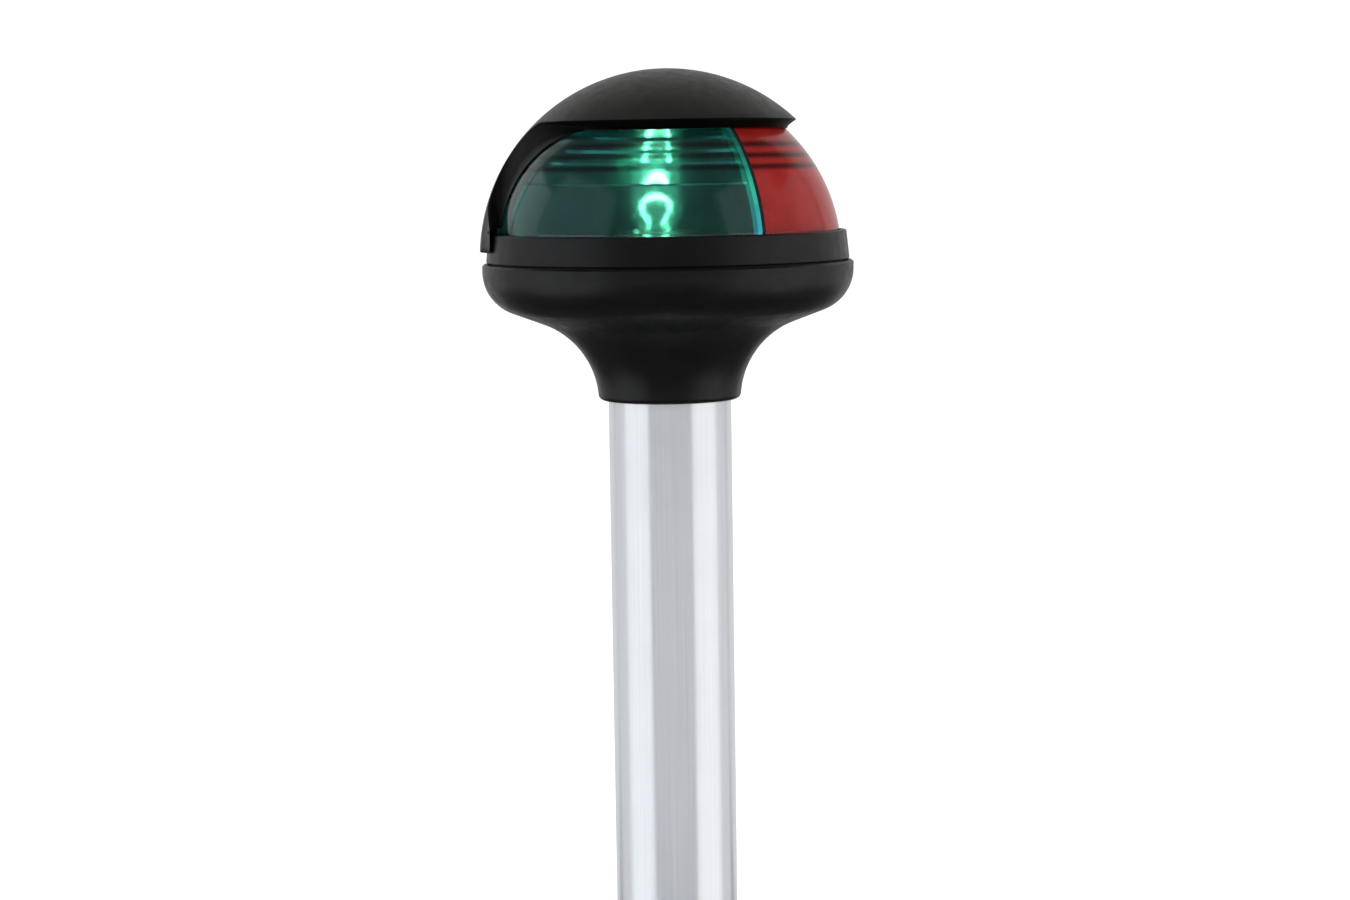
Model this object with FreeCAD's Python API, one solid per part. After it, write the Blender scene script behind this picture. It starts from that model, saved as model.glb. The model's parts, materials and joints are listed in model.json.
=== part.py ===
"""Plug-in bow navigation light: a red and green sidelight head on a short aluminium pole.

Frame: +Z up the pole, +X towards the bow, +Y to port. The origin is on the pole's axis, at the pole's
lower end. All sizes are in millimetres. Heights in the head are worked out from NECK_Z, the underside
of the head's neck, and heights at the foot are measured from the pole's lower end.

Bodies: the pole with the housing and the lamp holder; the cover (lenses, cap and rear blank), which is
screwed down by the retaining ring; the ring; the lamp; the locking collar and its washer.
"""

import FreeCAD
import Part
import math
import os

V = FreeCAD.Vector
UP = V(0, 0, 1)

# ---- driving dimensions ------------------------------------------------------------------------
TOTAL_HEIGHT = 254.0     # pole's lower end to the top of the cap
POLE_R = 12.7            # 1 in tube
POLE_WALL = 1.4
HEAD_HEIGHT = 67.9       # underside of the neck to the top of the cap
DOME_CENTRE = 29.2       # height of the cap's and the lenses' common centre above the neck's underside
CAP_R = HEAD_HEIGHT - DOME_CENTRE
CAP_WALL = 2.6
LENS_R = 35.8
LENS_WALL = 2.4

NECK_Z = TOTAL_HEIGHT - HEAD_HEIGHT
BORE_GAP = 0.05          # glued and press fits that are drawn just clear

# housing: a rounded bowl that runs into a trumpet neck
BOWL_R = 38.25
BOWL_ROUND = 9.0         # radius of the bowl's underside
BOWL_ROUND_Z = 26.8      # height of that radius's centre
RIM_Z = 28.4             # top of the bowl's rim
NECK_ROUND = 17.5        # radius of the trumpet's hollow side
NECK_ROUND_AT = (32.2, -0.4)
NECK_EDGE = 1.2          # rounding of the neck's lower edge
POLE_DEPTH = 14.0        # how far the pole goes up into the neck
FLOOR_Z = 16.5           # top of the floor inside the bowl
INSIDE_FOOT = ((32.4, 23.0), (31.0, 21.0), (21.0, 16.5))   # inside of the bowl, from its wall to the floor
SPIGOT_R = 34.2          # threaded wall that the ring screws on
SPIGOT_BORE = 32.4
RIM_ROUND = 0.4
SPIGOT_TOP = 31.2
CHANNEL_R = 36.75        # outer wall of the channel that the ring's skirt runs in
CHANNEL_Z = 24.0
HEAD_KEY = (2.2, 3.0)    # rib that the cover's tongues straddle: depth and width
SEAL = (32.8, 33.8, 30.4)   # the seal's groove: inner and outer radius, floor
GRUB_Z = 7.0             # the grub screw's height in the neck
GRUB_R = 2.0

# the ring's and the collar's threads: right-handed, one start
LEAD = 3.0
RIDGE = 0.65             # height of each thread ridge
RIDGE_ROOT = 1.2         # its widths
RIDGE_CREST = 0.7
THREAD_Z = 25.4          # middle of the spigot's ridge at its lower end
THREAD_TURNS = (1.5, 1.0, 2.5)   # on the spigot, in the ring, in the collar

# retaining ring
RING_BORE = 35.05
RING_SKIRT_R = 36.45
RING_R = 37.4
RING_TOP_R = 36.85
RING_Z = (24.4, 28.6, 34.6)   # foot of the skirt, underside of the visible band, top

# lenses
FLANGE_Z = (31.45, 33.25)
FLANGE_R = 36.1
LENS_NECK_R = 35.2       # upright stretch of the lens inside the ring's lip
LENS_NECK_TOP = 35.0
LENS_TOP = 59.35
LENS_SHELF = 1.8         # thickness of the inward shelf at the top of the lens
LENS_SHELF_BORE = 11.0
LENS_AFT_DEG = 114.0     # each lens runs this far round from the bow
PRISM_STEPS = (43.9, 47.75, 50.0, 52.2, 54.4)   # edges of the stacked prisms inside the lens
PRISM_TILTS = (18.0, 8.7, 6.0, 3.5)   # lean of each prism's face from upright, in degrees
PRISM_UNDERCUT = 0.25    # height of the sloping step under each prism
SCREEN = 0.8             # thickness of the screen between the two colours

# cap and rear shroud
LIP_Z = 57.4             # underside of the cap's lip, over the lenses
SHROUD_Z = 31.0          # lower end of the rear shroud
SHROUD_X = -8.8          # forward edges of the rear shroud
WINDOW_ROUND = 22.0      # corner between the shroud's forward edge and the lip
SKIRT_BORE = 37.75       # shroud's bore where it passes outside the ring
SKIRT_TOP = 35.4
CAP_SCREW_AT = 14.0      # radius of the circle of cap screws
CAP_SCREW_DEG = (60, 180, 300)
CAP_SCREW_R = 1.3
CAP_SCREW_HOLE_R = 1.6
CAP_BOSS = (2.7, 4.9)    # radius of the screws' bosses and depth of their holes
PLATE_Z = (55.5, 57.5)   # plate that clamps the lenses' shelves up against the cap
PLATE_R = (10.6, 17.2)

# lamp: wedge-base, upright, a little aft of the pole's axis
LAMP_X = -4.3
LAMP_R = 5.15
LAMP_WALL = 0.7
LAMP_TOP = 55.0
LAMP_TUBE_Z = 37.5       # where the tube starts to narrow into its base
LAMP_OPEN_R = 2.6
PINCH = (2.4, 9.2)       # thickness and width of the flat glass base
PINCH_Z = (28.2, 36.0)
LEG_Y = 3.5              # the filament's supports
FILAMENT_Z = 40.2
LEG_ROOT_Y = 1.6         # where the supports leave the glass base
LEG_R = 0.22
FILAMENT_R = 0.3
NARROWING = 1.2          # how far the tube's open foot reaches down past the stem's top
CONTACT_Y = 3.0
CONTACT = (2.4, 0.5)     # width and thickness of each brass strip
TAIL_Z = 18.6            # lower end of the strips' tails
BRIDGE_Z = 23.5          # underside of the fold that joins a strip's two legs
HOLDER = (10.0, 14.0)
HOLDER_Z = (20.5, 23.0, 34.0)   # underside, top of the ears, top of the socket
HOLDER_SCREW_Y = 13.5
HOLDER_SCREW_R = 1.2
CHUTE = (4.9, 3.0)       # opening for each contact in the holder
BOSS_R = 3.2             # bosses in the bowl for the holder's screws
BOSS_PILOT_R = 1.25

# wires and their hole through the housing's floor
WIRE_R = 0.9
WIRE_Y = 1.9
GLAND_R = 4.2
GLAND_LIP = 1.2

# foot of the pole
STOP_GROOVE = (0.5, 1.6)   # depth and height of the stop's groove in the pole
STOP_PROUD = 1.3         # how far the stop stands out of the pole
STOP_SPLIT = 2.4
STOP_Z = 38.0            # retaining ring that the collar rests on; below it the pole enters the base
PIN_R = 1.6
PIN_SHANK_R = 2.1        # the stretch held in the plug
PIN_Y = 4.5
PIN_DROP = 12.0
PLUG_DEPTH = 24.0        # top of the pins' sockets for the wires
PLUG_TOP = 20.0
PLUG_FLANGE = (12.0, 2.5)   # radius and thickness of the flange under the tube's end
NOSE = (8.4, 5.0)        # radius and drop of the plug's nose
KEY_RIB = (3.6, 3.0)
PLUG_SCREW_Z = 12.0
PLUG_SCREW = (1.2, 1.55, 7.5)   # radii of shank and head, and how near to the axis it ends
COLLAR_Z = (26.0, 41.2, 54.0)   # lower end, inner shoulder, top
COLLAR_R = 19.2
COLLAR_BORE = 16.2
COLLAR_SLIDE = 0.3       # clearance of the collar on the pole
COLLAR_FLUTES = 24


# ---- helpers -----------------------------------------------------------------------------------
def revolve(points):
    """Turns a closed outline about Z. A point is (r, z); a point (r, z, (mr, mz)) is reached by an
    arc through (mr, mz)."""
    edges = []
    for i, point in enumerate(points):
        before = points[i - 1]
        start, end = V(before[0], 0, before[1]), V(point[0], 0, point[1])
        if len(point) == 3:
            middle = V(point[2][0], 0, point[2][1])
            edges.append(Part.Arc(start, middle, end).toShape())
        elif (end - start).Length > 1e-6:
            edges.append(Part.LineSegment(start, end).toShape())
    face = Part.Face(Part.Wire(edges))
    return face.revolve(V(0, 0, 0), UP, 360)


def ring(inner, outer, low, high):
    """A plain ring, or a disc where inner is 0."""
    solid = Part.makeCylinder(outer, high - low, V(0, 0, low))
    if inner:
        solid = solid.cut(Part.makeCylinder(inner, high - low + 2, V(0, 0, low - 1)))
    return solid


def rod(radius, start, end):
    """A round bar between two points."""
    along = end - start
    return Part.makeCylinder(radius, along.Length, start, along)


def block(size, centre_xy, low, high):
    """An upright block of size (x, y), centred on a point, between two heights."""
    corner = V(centre_xy[0] - size[0] / 2, centre_xy[1] - size[1] / 2, low)
    return Part.makeBox(size[0], size[1], high - low, corner)


def polar(radius, degrees, height=0.0):
    angle = math.radians(degrees)
    return V(radius * math.cos(angle), radius * math.sin(angle), height)


def fuse(first, *others):
    return first.multiFuse(list(others)).removeSplitter()


def on_sphere(radius, height):
    """The distance from the axis of the sphere about the dome's centre, at that height."""
    return math.sqrt(radius ** 2 - (height - DOME_CENTRE) ** 2)


def sphere_arc(radius, start_z, end_z):
    """A revolve() point at end_z, reached by the dome's arc from start_z."""
    angles = [math.asin((z - DOME_CENTRE) / radius) for z in (start_z, end_z)]
    middle = sum(angles) / 2
    through = (radius * math.cos(middle), DOME_CENTRE + radius * math.sin(middle))
    return (on_sphere(radius, end_z), end_z, through)


def thread_ridge(wall_r, outward, low, turns):
    """One helical thread ridge, its root sunk into a wall of radius wall_r."""
    side = 1 if outward else -1
    root, crest = wall_r - side * 0.3, wall_r + side * RIDGE
    corners = [
        V(root, 0, low - RIDGE_ROOT / 2),
        V(crest, 0, low - RIDGE_CREST / 2),
        V(crest, 0, low + RIDGE_CREST / 2),
        V(root, 0, low + RIDGE_ROOT / 2),
    ]
    outline = Part.makePolygon(corners + corners[:1])
    helix = Part.makeHelix(LEAD, LEAD * turns, wall_r)
    helix.translate(V(0, 0, low))
    return Part.Wire(helix.Edges).makePipeShell([outline], True, True)


def tube_along(points, radius):
    """A wire's solid: straight runs between the points, joined by tangent arcs as large as fit."""
    edges = []
    at = points[0]
    for before, corner, after in zip(points, points[1:], points[2:]):
        back, on = (before - corner), (after - corner)
        reach = 0.45 * min(back.Length, on.Length)
        back.normalize()
        on.normalize()
        start, end = corner + back * reach, corner + on * reach
        turn = math.pi - back.getAngle(on)
        bend = reach / math.tan(turn / 2)
        to_centre = (back + on).normalize()
        inward = bend / math.cos(turn / 2) - bend
        edges.append(Part.LineSegment(at, start).toShape())
        edges.append(Part.Arc(start, corner + to_centre * inward, end).toShape())
        at = end
    edges.append(Part.LineSegment(at, points[-1]).toShape())
    path = Part.Wire(edges)
    circle = Part.Wire(Part.makeCircle(radius, points[0], points[1] - points[0]))
    return path.makePipeShell([circle], True, True)


def screw(head_r, head_high, shank_r, length, at, up=True):
    """A pan-head screw with a cross slot: the head's bearing face is at `at`, the shank beyond it."""
    way = 1 if up else -1
    head = rod(head_r, at, at - UP * (way * head_high))
    rim = [e for e in head.Edges if abs(e.BoundBox.ZMin - (at.z - way * head_high)) < 1e-6]
    head = head.makeFillet(head_high * 0.45, [e for e in rim if e.Length > head_r])
    shank = rod(shank_r, at, at + UP * (way * length))
    body = head.fuse(shank).removeSplitter()
    slot_z = at.z - way * head_high
    for size in ((head_r * 1.2, 0.5), (0.5, head_r * 1.2)):
        low, high = sorted((slot_z - way * 0.1, slot_z + way * head_high * 0.5))
        body = body.cut(block(size, (at.x, at.y), low, high))
    return body


def lifted(shape):
    """The same shape, moved up from head heights to the pole's frame."""
    moved = shape.copy()
    moved.translate(V(0, 0, NECK_Z))
    return moved


# ---- housing -----------------------------------------------------------------------------------
def bowl_outline():
    """The outside of the housing from the neck's lower edge up to the bowl's widest point: a hollow
    arc, a straight run tangent to both arcs, and a full arc."""
    hollow, full = V(*NECK_ROUND_AT, 0), V(BOWL_R - BOWL_ROUND, BOWL_ROUND_Z, 0)
    between = full - hollow
    lean = math.acos((NECK_ROUND + BOWL_ROUND) / between.Length)
    normal = math.atan2(between.y, between.x) + lean
    toward = V(math.cos(normal), math.sin(normal), 0)
    leave, meet = hollow + toward * NECK_ROUND, full - toward * BOWL_ROUND
    foot_angle = math.pi - math.asin((NECK_EDGE - hollow.y) / NECK_ROUND)
    foot = hollow + V(math.cos(foot_angle), math.sin(foot_angle), 0) * NECK_ROUND
    half = (foot_angle + normal) / 2
    hollow_middle = hollow + V(math.cos(half), math.sin(half), 0) * NECK_ROUND
    half = normal / 2 + 1.5 * math.pi
    full_middle = full + V(math.cos(half), math.sin(half), 0) * BOWL_ROUND
    edge = NECK_EDGE * math.sqrt(0.5)
    corner = (foot.x - NECK_EDGE, 0)
    corner_middle = (corner[0] + edge, NECK_EDGE - edge)
    return [
        corner,
        (foot.x, foot.y, corner_middle),
        (leave.x, leave.y, (hollow_middle.x, hollow_middle.y)),
        (meet.x, meet.y),
        (BOWL_R, BOWL_ROUND_Z, (full_middle.x, full_middle.y)),
    ]


def base_housing():
    """Bowl and neck in one moulding, with the spigot, the floor, the screw bosses and the key rib."""
    seal_in, seal_out, seal_floor = SEAL
    body = revolve([
        (POLE_R + BORE_GAP, POLE_DEPTH),
        (POLE_R + BORE_GAP, 0),
        *bowl_outline(),
        (BOWL_R, RIM_Z - RIM_ROUND),
        (BOWL_R - RIM_ROUND, RIM_Z),
        (CHANNEL_R, RIM_Z),
        (CHANNEL_R, CHANNEL_Z),
        (SPIGOT_R, CHANNEL_Z),
        (SPIGOT_R, SPIGOT_TOP),
        (seal_out, SPIGOT_TOP),
        (seal_out, seal_floor),
        (seal_in, seal_floor),
        (seal_in, SPIGOT_TOP),
        (SPIGOT_BORE, SPIGOT_TOP),
        *INSIDE_FOOT,
        (0, FLOOR_Z),
        (0, POLE_DEPTH),
    ])
    bosses = [rod(BOSS_R, V(LAMP_X, y, FLOOR_Z - 1), V(LAMP_X, y, HOLDER_Z[0]))
              for y in (-HOLDER_SCREW_Y, HOLDER_SCREW_Y)]
    key_rib = block(HEAD_KEY, (-SPIGOT_BORE + 0.9, 0), INSIDE_FOOT[1][1] - 0.5, SPIGOT_TOP - 0.4)
    body = fuse(body, key_rib, *bosses)
    body = body.fuse(thread_ridge(SPIGOT_R, True, THREAD_Z, THREAD_TURNS[0]))
    for y in (-HOLDER_SCREW_Y, HOLDER_SCREW_Y):
        body = body.cut(rod(BOSS_PILOT_R, V(LAMP_X, y, FLOOR_Z - 0.5), V(LAMP_X, y, HOLDER_Z[0] + 1)))
    body = body.cut(rod(GLAND_R, V(LAMP_X, 0, POLE_DEPTH - 1), V(LAMP_X, 0, FLOOR_Z + 1)))
    body = body.cut(rod(GRUB_R, V(-POLE_R - 8, 0, GRUB_Z), V(-POLE_R + 1, 0, GRUB_Z)))
    return lifted(body)


def neck_grub_screw():
    """Socket grub screw at the back of the neck, which locks the head on the pole."""
    inner, outer, key_size, key_depth = POLE_R + 0.02, 15.9, 1.15, 1.6
    body = rod(GRUB_R - 0.02, V(-inner, 0, GRUB_Z), V(-outer, 0, GRUB_Z))
    socket = Part.makePolygon([polar(key_size, 60 * i) for i in range(7)])
    key = Part.Face(socket).extrude(V(0, 0, key_depth))
    key.rotate(V(0, 0, 0), V(0, 1, 0), 90)
    key.translate(V(-outer - 0.1, 0, GRUB_Z))
    return lifted(body.cut(key))


def housing_seal():
    """Flat rubber ring between the spigot and the lens flange."""
    return lifted(ring(SEAL[0] + 0.05, SEAL[1] - 0.05, SEAL[2], FLANGE_Z[0] - 0.05))


# ---- cover -------------------------------------------------------------------------------------
def lens_body():
    """The lens's full turn: flange, upright neck, dome with prisms inside, and the inward shelf.

    Each prism's face is flush with the dome's inside at its top and leans out less than the dome does
    below that, which turns the filament's light level. A step takes it back to the dome."""
    inner_r = LENS_R - LENS_WALL
    shelf_low = LENS_TOP - LENS_SHELF
    outline = [
        (FLANGE_R, FLANGE_Z[0]),
        (FLANGE_R, FLANGE_Z[1]),
        (LENS_NECK_R, FLANGE_Z[1]),
        (LENS_NECK_R, LENS_NECK_TOP),
        (on_sphere(LENS_R, LENS_NECK_TOP), LENS_NECK_TOP),
        sphere_arc(LENS_R, LENS_NECK_TOP, LENS_TOP),
        (LENS_SHELF_BORE, LENS_TOP),
        (LENS_SHELF_BORE, shelf_low),
        (on_sphere(inner_r, shelf_low), shelf_low),
    ]
    outline.append(sphere_arc(inner_r, shelf_low, PRISM_STEPS[-1]))
    for low, high, tilt in reversed(list(zip(PRISM_STEPS, PRISM_STEPS[1:], PRISM_TILTS))):
        drop = high - low - PRISM_UNDERCUT
        face_foot = on_sphere(inner_r, high) + drop * math.tan(math.radians(tilt))
        outline.append((face_foot, high - drop))
        outline.append((on_sphere(inner_r, low), low))
    outline.append(sphere_arc(inner_r, PRISM_STEPS[0], FLANGE_Z[0]))
    return revolve(outline)


def sector(start_deg, end_deg, gap):
    """An upright wedge of space from one bearing to another, its first side set in by gap."""
    reach = 90.0
    side = 1 if end_deg > start_deg else -1
    corners = [V(0, side * gap, 0)]
    steps = 4
    for i in range(steps + 1):
        bearing = start_deg + (end_deg - start_deg) * i / steps
        point = polar(reach, bearing)
        if i == 0:
            point = point + V(0, side * gap, 0)
        corners.append(point)
    return Part.Face(Part.makePolygon(corners + corners[:1])).extrude(UP * 80)


def cap_screw_holes(radius, low, high):
    return [rod(radius, polar(CAP_SCREW_AT, d, low), polar(CAP_SCREW_AT, d, high))
            for d in CAP_SCREW_DEG]


def lens(body, side):
    """One coloured lens: side is 1 for port, -1 for starboard."""
    piece = body.common(sector(0, side * LENS_AFT_DEG, SCREEN / 2))
    for hole in cap_screw_holes(CAP_SCREW_HOLE_R, PLATE_Z[1], LENS_TOP + 1):
        piece = piece.cut(hole)
    return lifted(piece)


def rear_blank(body):
    """Opaque back of the lens ring, with two tongues that straddle the housing's key rib."""
    piece = body.common(sector(LENS_AFT_DEG, 360 - LENS_AFT_DEG, 0))
    for hole in cap_screw_holes(CAP_SCREW_HOLE_R, PLATE_Z[1], LENS_TOP + 1):
        piece = piece.cut(hole)
    thick, wide, reach, apart = 1.4, 3.0, 4.0, 3.4
    at_x = -SPIGOT_BORE + thick
    tongues = [block((thick, wide), (at_x, y), FLANGE_Z[0] - reach, FLANGE_Z[0] + 1.0)
               for y in (-apart, apart)]
    root = block((3.0, 2 * apart + wide), (at_x - 1.1, 0), FLANGE_Z[0], FLANGE_Z[0] + 1.6)
    return lifted(fuse(piece, root, *tongues))


def colour_screen(body):
    """Black screen between the lenses at the bow, with a fin that reaches in towards the lamp."""
    slab = Part.makeBox(60, SCREEN, 40, V(10, -SCREEN / 2, FLANGE_Z[0]))
    fin_low, fin_high, fin_depth, overlap = LENS_NECK_TOP + 0.4, PLATE_Z[0] - 0.3, 7.0, 0.5
    inner_r = LENS_R - LENS_WALL + overlap
    fin = revolve([
        (on_sphere(inner_r, fin_low), fin_low),
        sphere_arc(inner_r, fin_low, fin_high),
        (on_sphere(inner_r, fin_high) - fin_depth * 0.5, fin_high),
        (on_sphere(inner_r, fin_low) - fin_depth, fin_low),
    ])
    return lifted(fuse(body, fin).common(slab))


def clamp_plate():
    """Ring-shaped plate that holds the lenses' shelves up against the cap's bosses."""
    plate = ring(PLATE_R[0], PLATE_R[1], *PLATE_Z)
    for hole in cap_screw_holes(CAP_SCREW_HOLE_R, PLATE_Z[0] - 1, PLATE_Z[1] + 1):
        plate = plate.cut(hole)
    return lifted(plate)


def cap_screws():
    """Three screws, up through the clamp plate and the lens shelves into the cap."""
    head_r, head_high, length = 2.6, 1.7, 8.4
    screws = [screw(head_r, head_high, CAP_SCREW_R, length, polar(CAP_SCREW_AT, d, PLATE_Z[0] - 0.02))
              for d in CAP_SCREW_DEG]
    return lifted(Part.makeCompound(screws))


def window_tool():
    """The space cut out of the dome in front of the shroud and under the lip, along Y."""
    far, r = 60.0, WINDOW_ROUND
    low = V(SHROUD_X, -far, SHROUD_Z - 5)
    side = V(SHROUD_X, -far, LIP_Z - r)
    middle = V(SHROUD_X + r * (1 - math.sqrt(0.5)), -far, LIP_Z - r * (1 - math.sqrt(0.5)))
    top = V(SHROUD_X + r, -far, LIP_Z)
    ahead, below = V(far, -far, LIP_Z), V(far, -far, SHROUD_Z - 5)
    edges = [
        Part.LineSegment(low, side).toShape(),
        Part.Arc(side, middle, top).toShape(),
        Part.LineSegment(top, ahead).toShape(),
        Part.LineSegment(ahead, below).toShape(),
        Part.LineSegment(below, low).toShape(),
    ]
    return Part.Face(Part.Wire(edges)).extrude(V(0, 2 * far, 0))


def cap_shroud():
    """Cap and rear shroud in one moulding: a dome with the lenses' window cut out of its front."""
    inner_r = CAP_R - CAP_WALL
    outer_bottom = sphere_arc(CAP_R, HEAD_HEIGHT - 1e-4, SHROUD_Z)
    inner_top = DOME_CENTRE + inner_r
    dome = revolve([
        (0, inner_top),
        (0, HEAD_HEIGHT),
        (outer_bottom[0], SHROUD_Z, outer_bottom[2]),
        (SKIRT_BORE, SHROUD_Z),
        (SKIRT_BORE, SKIRT_TOP),
        (on_sphere(inner_r, SKIRT_TOP), SKIRT_TOP),
        (0, inner_top, (inner_r * math.sqrt(0.5), DOME_CENTRE + inner_r * math.sqrt(0.5))),
    ])
    dome = dome.cut(window_tool())
    boss_r, hole_depth = CAP_BOSS
    under_dome = Part.makeSphere(inner_r + 1.0, V(0, 0, DOME_CENTRE))
    for d in CAP_SCREW_DEG:
        boss = rod(boss_r, polar(CAP_SCREW_AT, d, LENS_TOP + 0.05), polar(CAP_SCREW_AT, d, HEAD_HEIGHT))
        dome = dome.fuse(boss.common(under_dome))
    dome = dome.removeSplitter()
    for hole in cap_screw_holes(CAP_SCREW_R, LENS_TOP - 1, LENS_TOP + hole_depth):
        dome = dome.cut(hole)
    return lifted(dome)


def retaining_ring():
    """Threaded ring that screws down on the spigot and holds the cover by its flange."""
    foot, band, top = RING_Z
    edge = 0.4
    body = revolve([
        (RING_BORE, foot),
        (RING_SKIRT_R, foot),
        (RING_SKIRT_R, band),
        (RING_R - 0.2, band),
        (RING_R, band + 0.3),
        (RING_TOP_R, top - edge),
        (RING_TOP_R - edge, top, (RING_TOP_R - edge * 0.29, top - edge * 0.29)),
        (LENS_NECK_R + 0.4, top),
        (LENS_NECK_R + 0.4, FLANGE_Z[1] + 0.2),
        (FLANGE_R + 0.3, FLANGE_Z[1] + 0.2),
        (FLANGE_R + 0.3, FLANGE_Z[0] - 0.2),
        (RING_BORE, FLANGE_Z[0] - 0.2),
    ])
    return lifted(body.fuse(thread_ridge(RING_BORE, False, THREAD_Z + LEAD / 2, THREAD_TURNS[1])))


# ---- lamp and its holder -----------------------------------------------------------------------
def lamp_glass():
    """The lamp's envelope: a thin tube with a round top, narrowed at its foot to meet its base."""
    inner = LAMP_R - LAMP_WALL
    dome_z = LAMP_TOP - LAMP_R
    foot = PINCH_Z[1] - NARROWING
    rise = math.sqrt(0.5)
    body = revolve([
        (LAMP_OPEN_R + LAMP_WALL, foot),
        (LAMP_R, LAMP_TUBE_Z),
        (LAMP_R, dome_z),
        (0, LAMP_TOP, (LAMP_R * rise, dome_z + LAMP_R * rise)),
        (0, LAMP_TOP - LAMP_WALL),
        (inner, dome_z, (inner * rise, dome_z + inner * rise)),
        (inner, LAMP_TUBE_Z + 0.2),
        (LAMP_OPEN_R, foot),
    ])
    body.translate(V(LAMP_X, 0, 0))
    return lifted(body.cut(pinch_solid(0.03)))


def pinch_solid(grow=0.0):
    """The lamp's flat glass base and the round stem on top of it, in head heights."""
    thick, width = PINCH
    flat = block((thick + 2 * grow, width + 2 * grow), (LAMP_X, 0), PINCH_Z[0], PINCH_Z[1] - NARROWING)
    stem = rod(LAMP_OPEN_R - 0.05 + grow, V(LAMP_X, 0, PINCH_Z[1] - 1.8), V(LAMP_X, 0, PINCH_Z[1]))
    return fuse(flat, stem)


def lamp_base():
    """Flat glass base, with a hole on each side of the stem for a support wire."""
    body = pinch_solid()
    for y in (-LEG_ROOT_Y, LEG_ROOT_Y):
        body = body.cut(rod(LEG_R + 0.05, V(LAMP_X, y, PINCH_Z[1] - 3), V(LAMP_X, y, PINCH_Z[1] + 1)))
    return lifted(body)


def lamp_supports():
    """Two wires that rise out of the base and spread to hold the filament."""
    wires = []
    for side in (-1, 1):
        route = [
            V(LAMP_X, side * LEG_ROOT_Y, PINCH_Z[1] - 2.9),
            V(LAMP_X, side * LEG_ROOT_Y, PINCH_Z[1] + 0.5),
            V(LAMP_X, side * LEG_Y, PINCH_Z[1] + 2.6),
            V(LAMP_X, side * LEG_Y, FILAMENT_Z),
        ]
        wires.append(tube_along(route, LEG_R))
    return lifted(Part.makeCompound(wires))


def lamp_filament():
    """The coil's outer shape: a thin arched bar between the tops of the supports."""
    foot, rise = FILAMENT_Z + 0.12, 1.5
    arc = Part.Arc(V(LAMP_X, -LEG_Y, foot), V(LAMP_X, 0, foot + rise), V(LAMP_X, LEG_Y, foot)).toShape()
    way = arc.tangentAt(arc.FirstParameter)
    circle = Part.Wire(Part.makeCircle(FILAMENT_R, V(LAMP_X, -LEG_Y, foot), way))
    return lifted(Part.Wire([arc]).makePipeShell([circle], True, True))


def lamp_holder():
    """Socket on two ears, with a slot for the lamp's base and a chute at each side for a contact."""
    low, ears, top = HOLDER_Z
    tower = block(HOLDER, (LAMP_X, 0), low, top)
    corner, ear_r = 1.5, 4.5
    upright = [e for e in tower.Edges if abs(e.BoundBox.ZLength - (top - low)) < 1e-6]
    tower = tower.makeFillet(corner, upright)
    plate = block((2 * ear_r, 2 * HOLDER_SCREW_Y), (LAMP_X, 0), low, ears)
    ends = [rod(ear_r, V(LAMP_X, y, low), V(LAMP_X, y, ears)) for y in (-HOLDER_SCREW_Y, HOLDER_SCREW_Y)]
    body = fuse(tower, plate, *ends)
    slot = block((PINCH[0] + 0.4, PINCH[1] + 0.4), (LAMP_X, 0), PINCH_Z[0] - 0.2, top + 1)
    body = body.cut(slot)
    for side in (-1, 1):
        body = body.cut(block(CHUTE, (LAMP_X, side * CONTACT_Y), low - 1, top + 1))
        hole = rod(HOLDER_SCREW_R + 0.5, V(LAMP_X, side * HOLDER_SCREW_Y, low - 1),
                   V(LAMP_X, side * HOLDER_SCREW_Y, ears + 1))
        body = body.cut(hole)
    return lifted(body)


def lamp_contacts():
    """Two sprung brass strips, each folded over one side of the lamp's base, with a tail below."""
    strips = []
    width, thick = CONTACT
    tail_low, bridge_low, top = TAIL_Z, BRIDGE_Z, HOLDER_Z[2] - 0.6
    for side in (-1, 1):
        y = side * CONTACT_Y
        inner = PINCH[0] / 2 + 0.12
        legs = [block((thick, width), (LAMP_X + s * (inner + thick / 2), y), bridge_low + thick, top)
                for s in (-1, 1)]
        bridge = block((2 * (inner + thick), width), (LAMP_X, y), bridge_low, bridge_low + thick)
        tail = block((thick, width), (LAMP_X, y), tail_low, bridge_low)
        strips.append(fuse(bridge, tail, *legs))
    return lifted(Part.makeCompound(strips))


def holder_screws():
    head_r, head_high, length = 3.0, 1.9, 6.0
    screws = [screw(head_r, head_high, HOLDER_SCREW_R, length, V(LAMP_X, y, HOLDER_Z[1] + 0.02), up=False)
              for y in (-HOLDER_SCREW_Y, HOLDER_SCREW_Y)]
    return lifted(Part.makeCompound(screws))


def wire_terminals():
    """Crimped ends that push onto the contacts' tails."""
    sleeve_size, sleeve_z, barrel_r, barrel_low = (1.7, 3.0), (19.2, 22.6), 1.3, 16.9
    tail = (CONTACT[1] + 0.06, CONTACT[0] + 0.06)
    ends = []
    for side in (-1, 1):
        y = side * CONTACT_Y
        sleeve = block(sleeve_size, (LAMP_X, y), *sleeve_z)
        barrel = rod(barrel_r, V(LAMP_X, y, barrel_low), V(LAMP_X, y, sleeve_z[0]))
        body = fuse(sleeve, barrel).cut(block(tail, (LAMP_X, y), TAIL_Z - 0.2, sleeve_z[1] + 1))
        ends.append(body.cut(rod(WIRE_R + 0.03, V(LAMP_X, y, barrel_low - 0.1), V(LAMP_X, y, TAIL_Z - 0.4))))
    return lifted(Part.makeCompound(ends))


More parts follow.
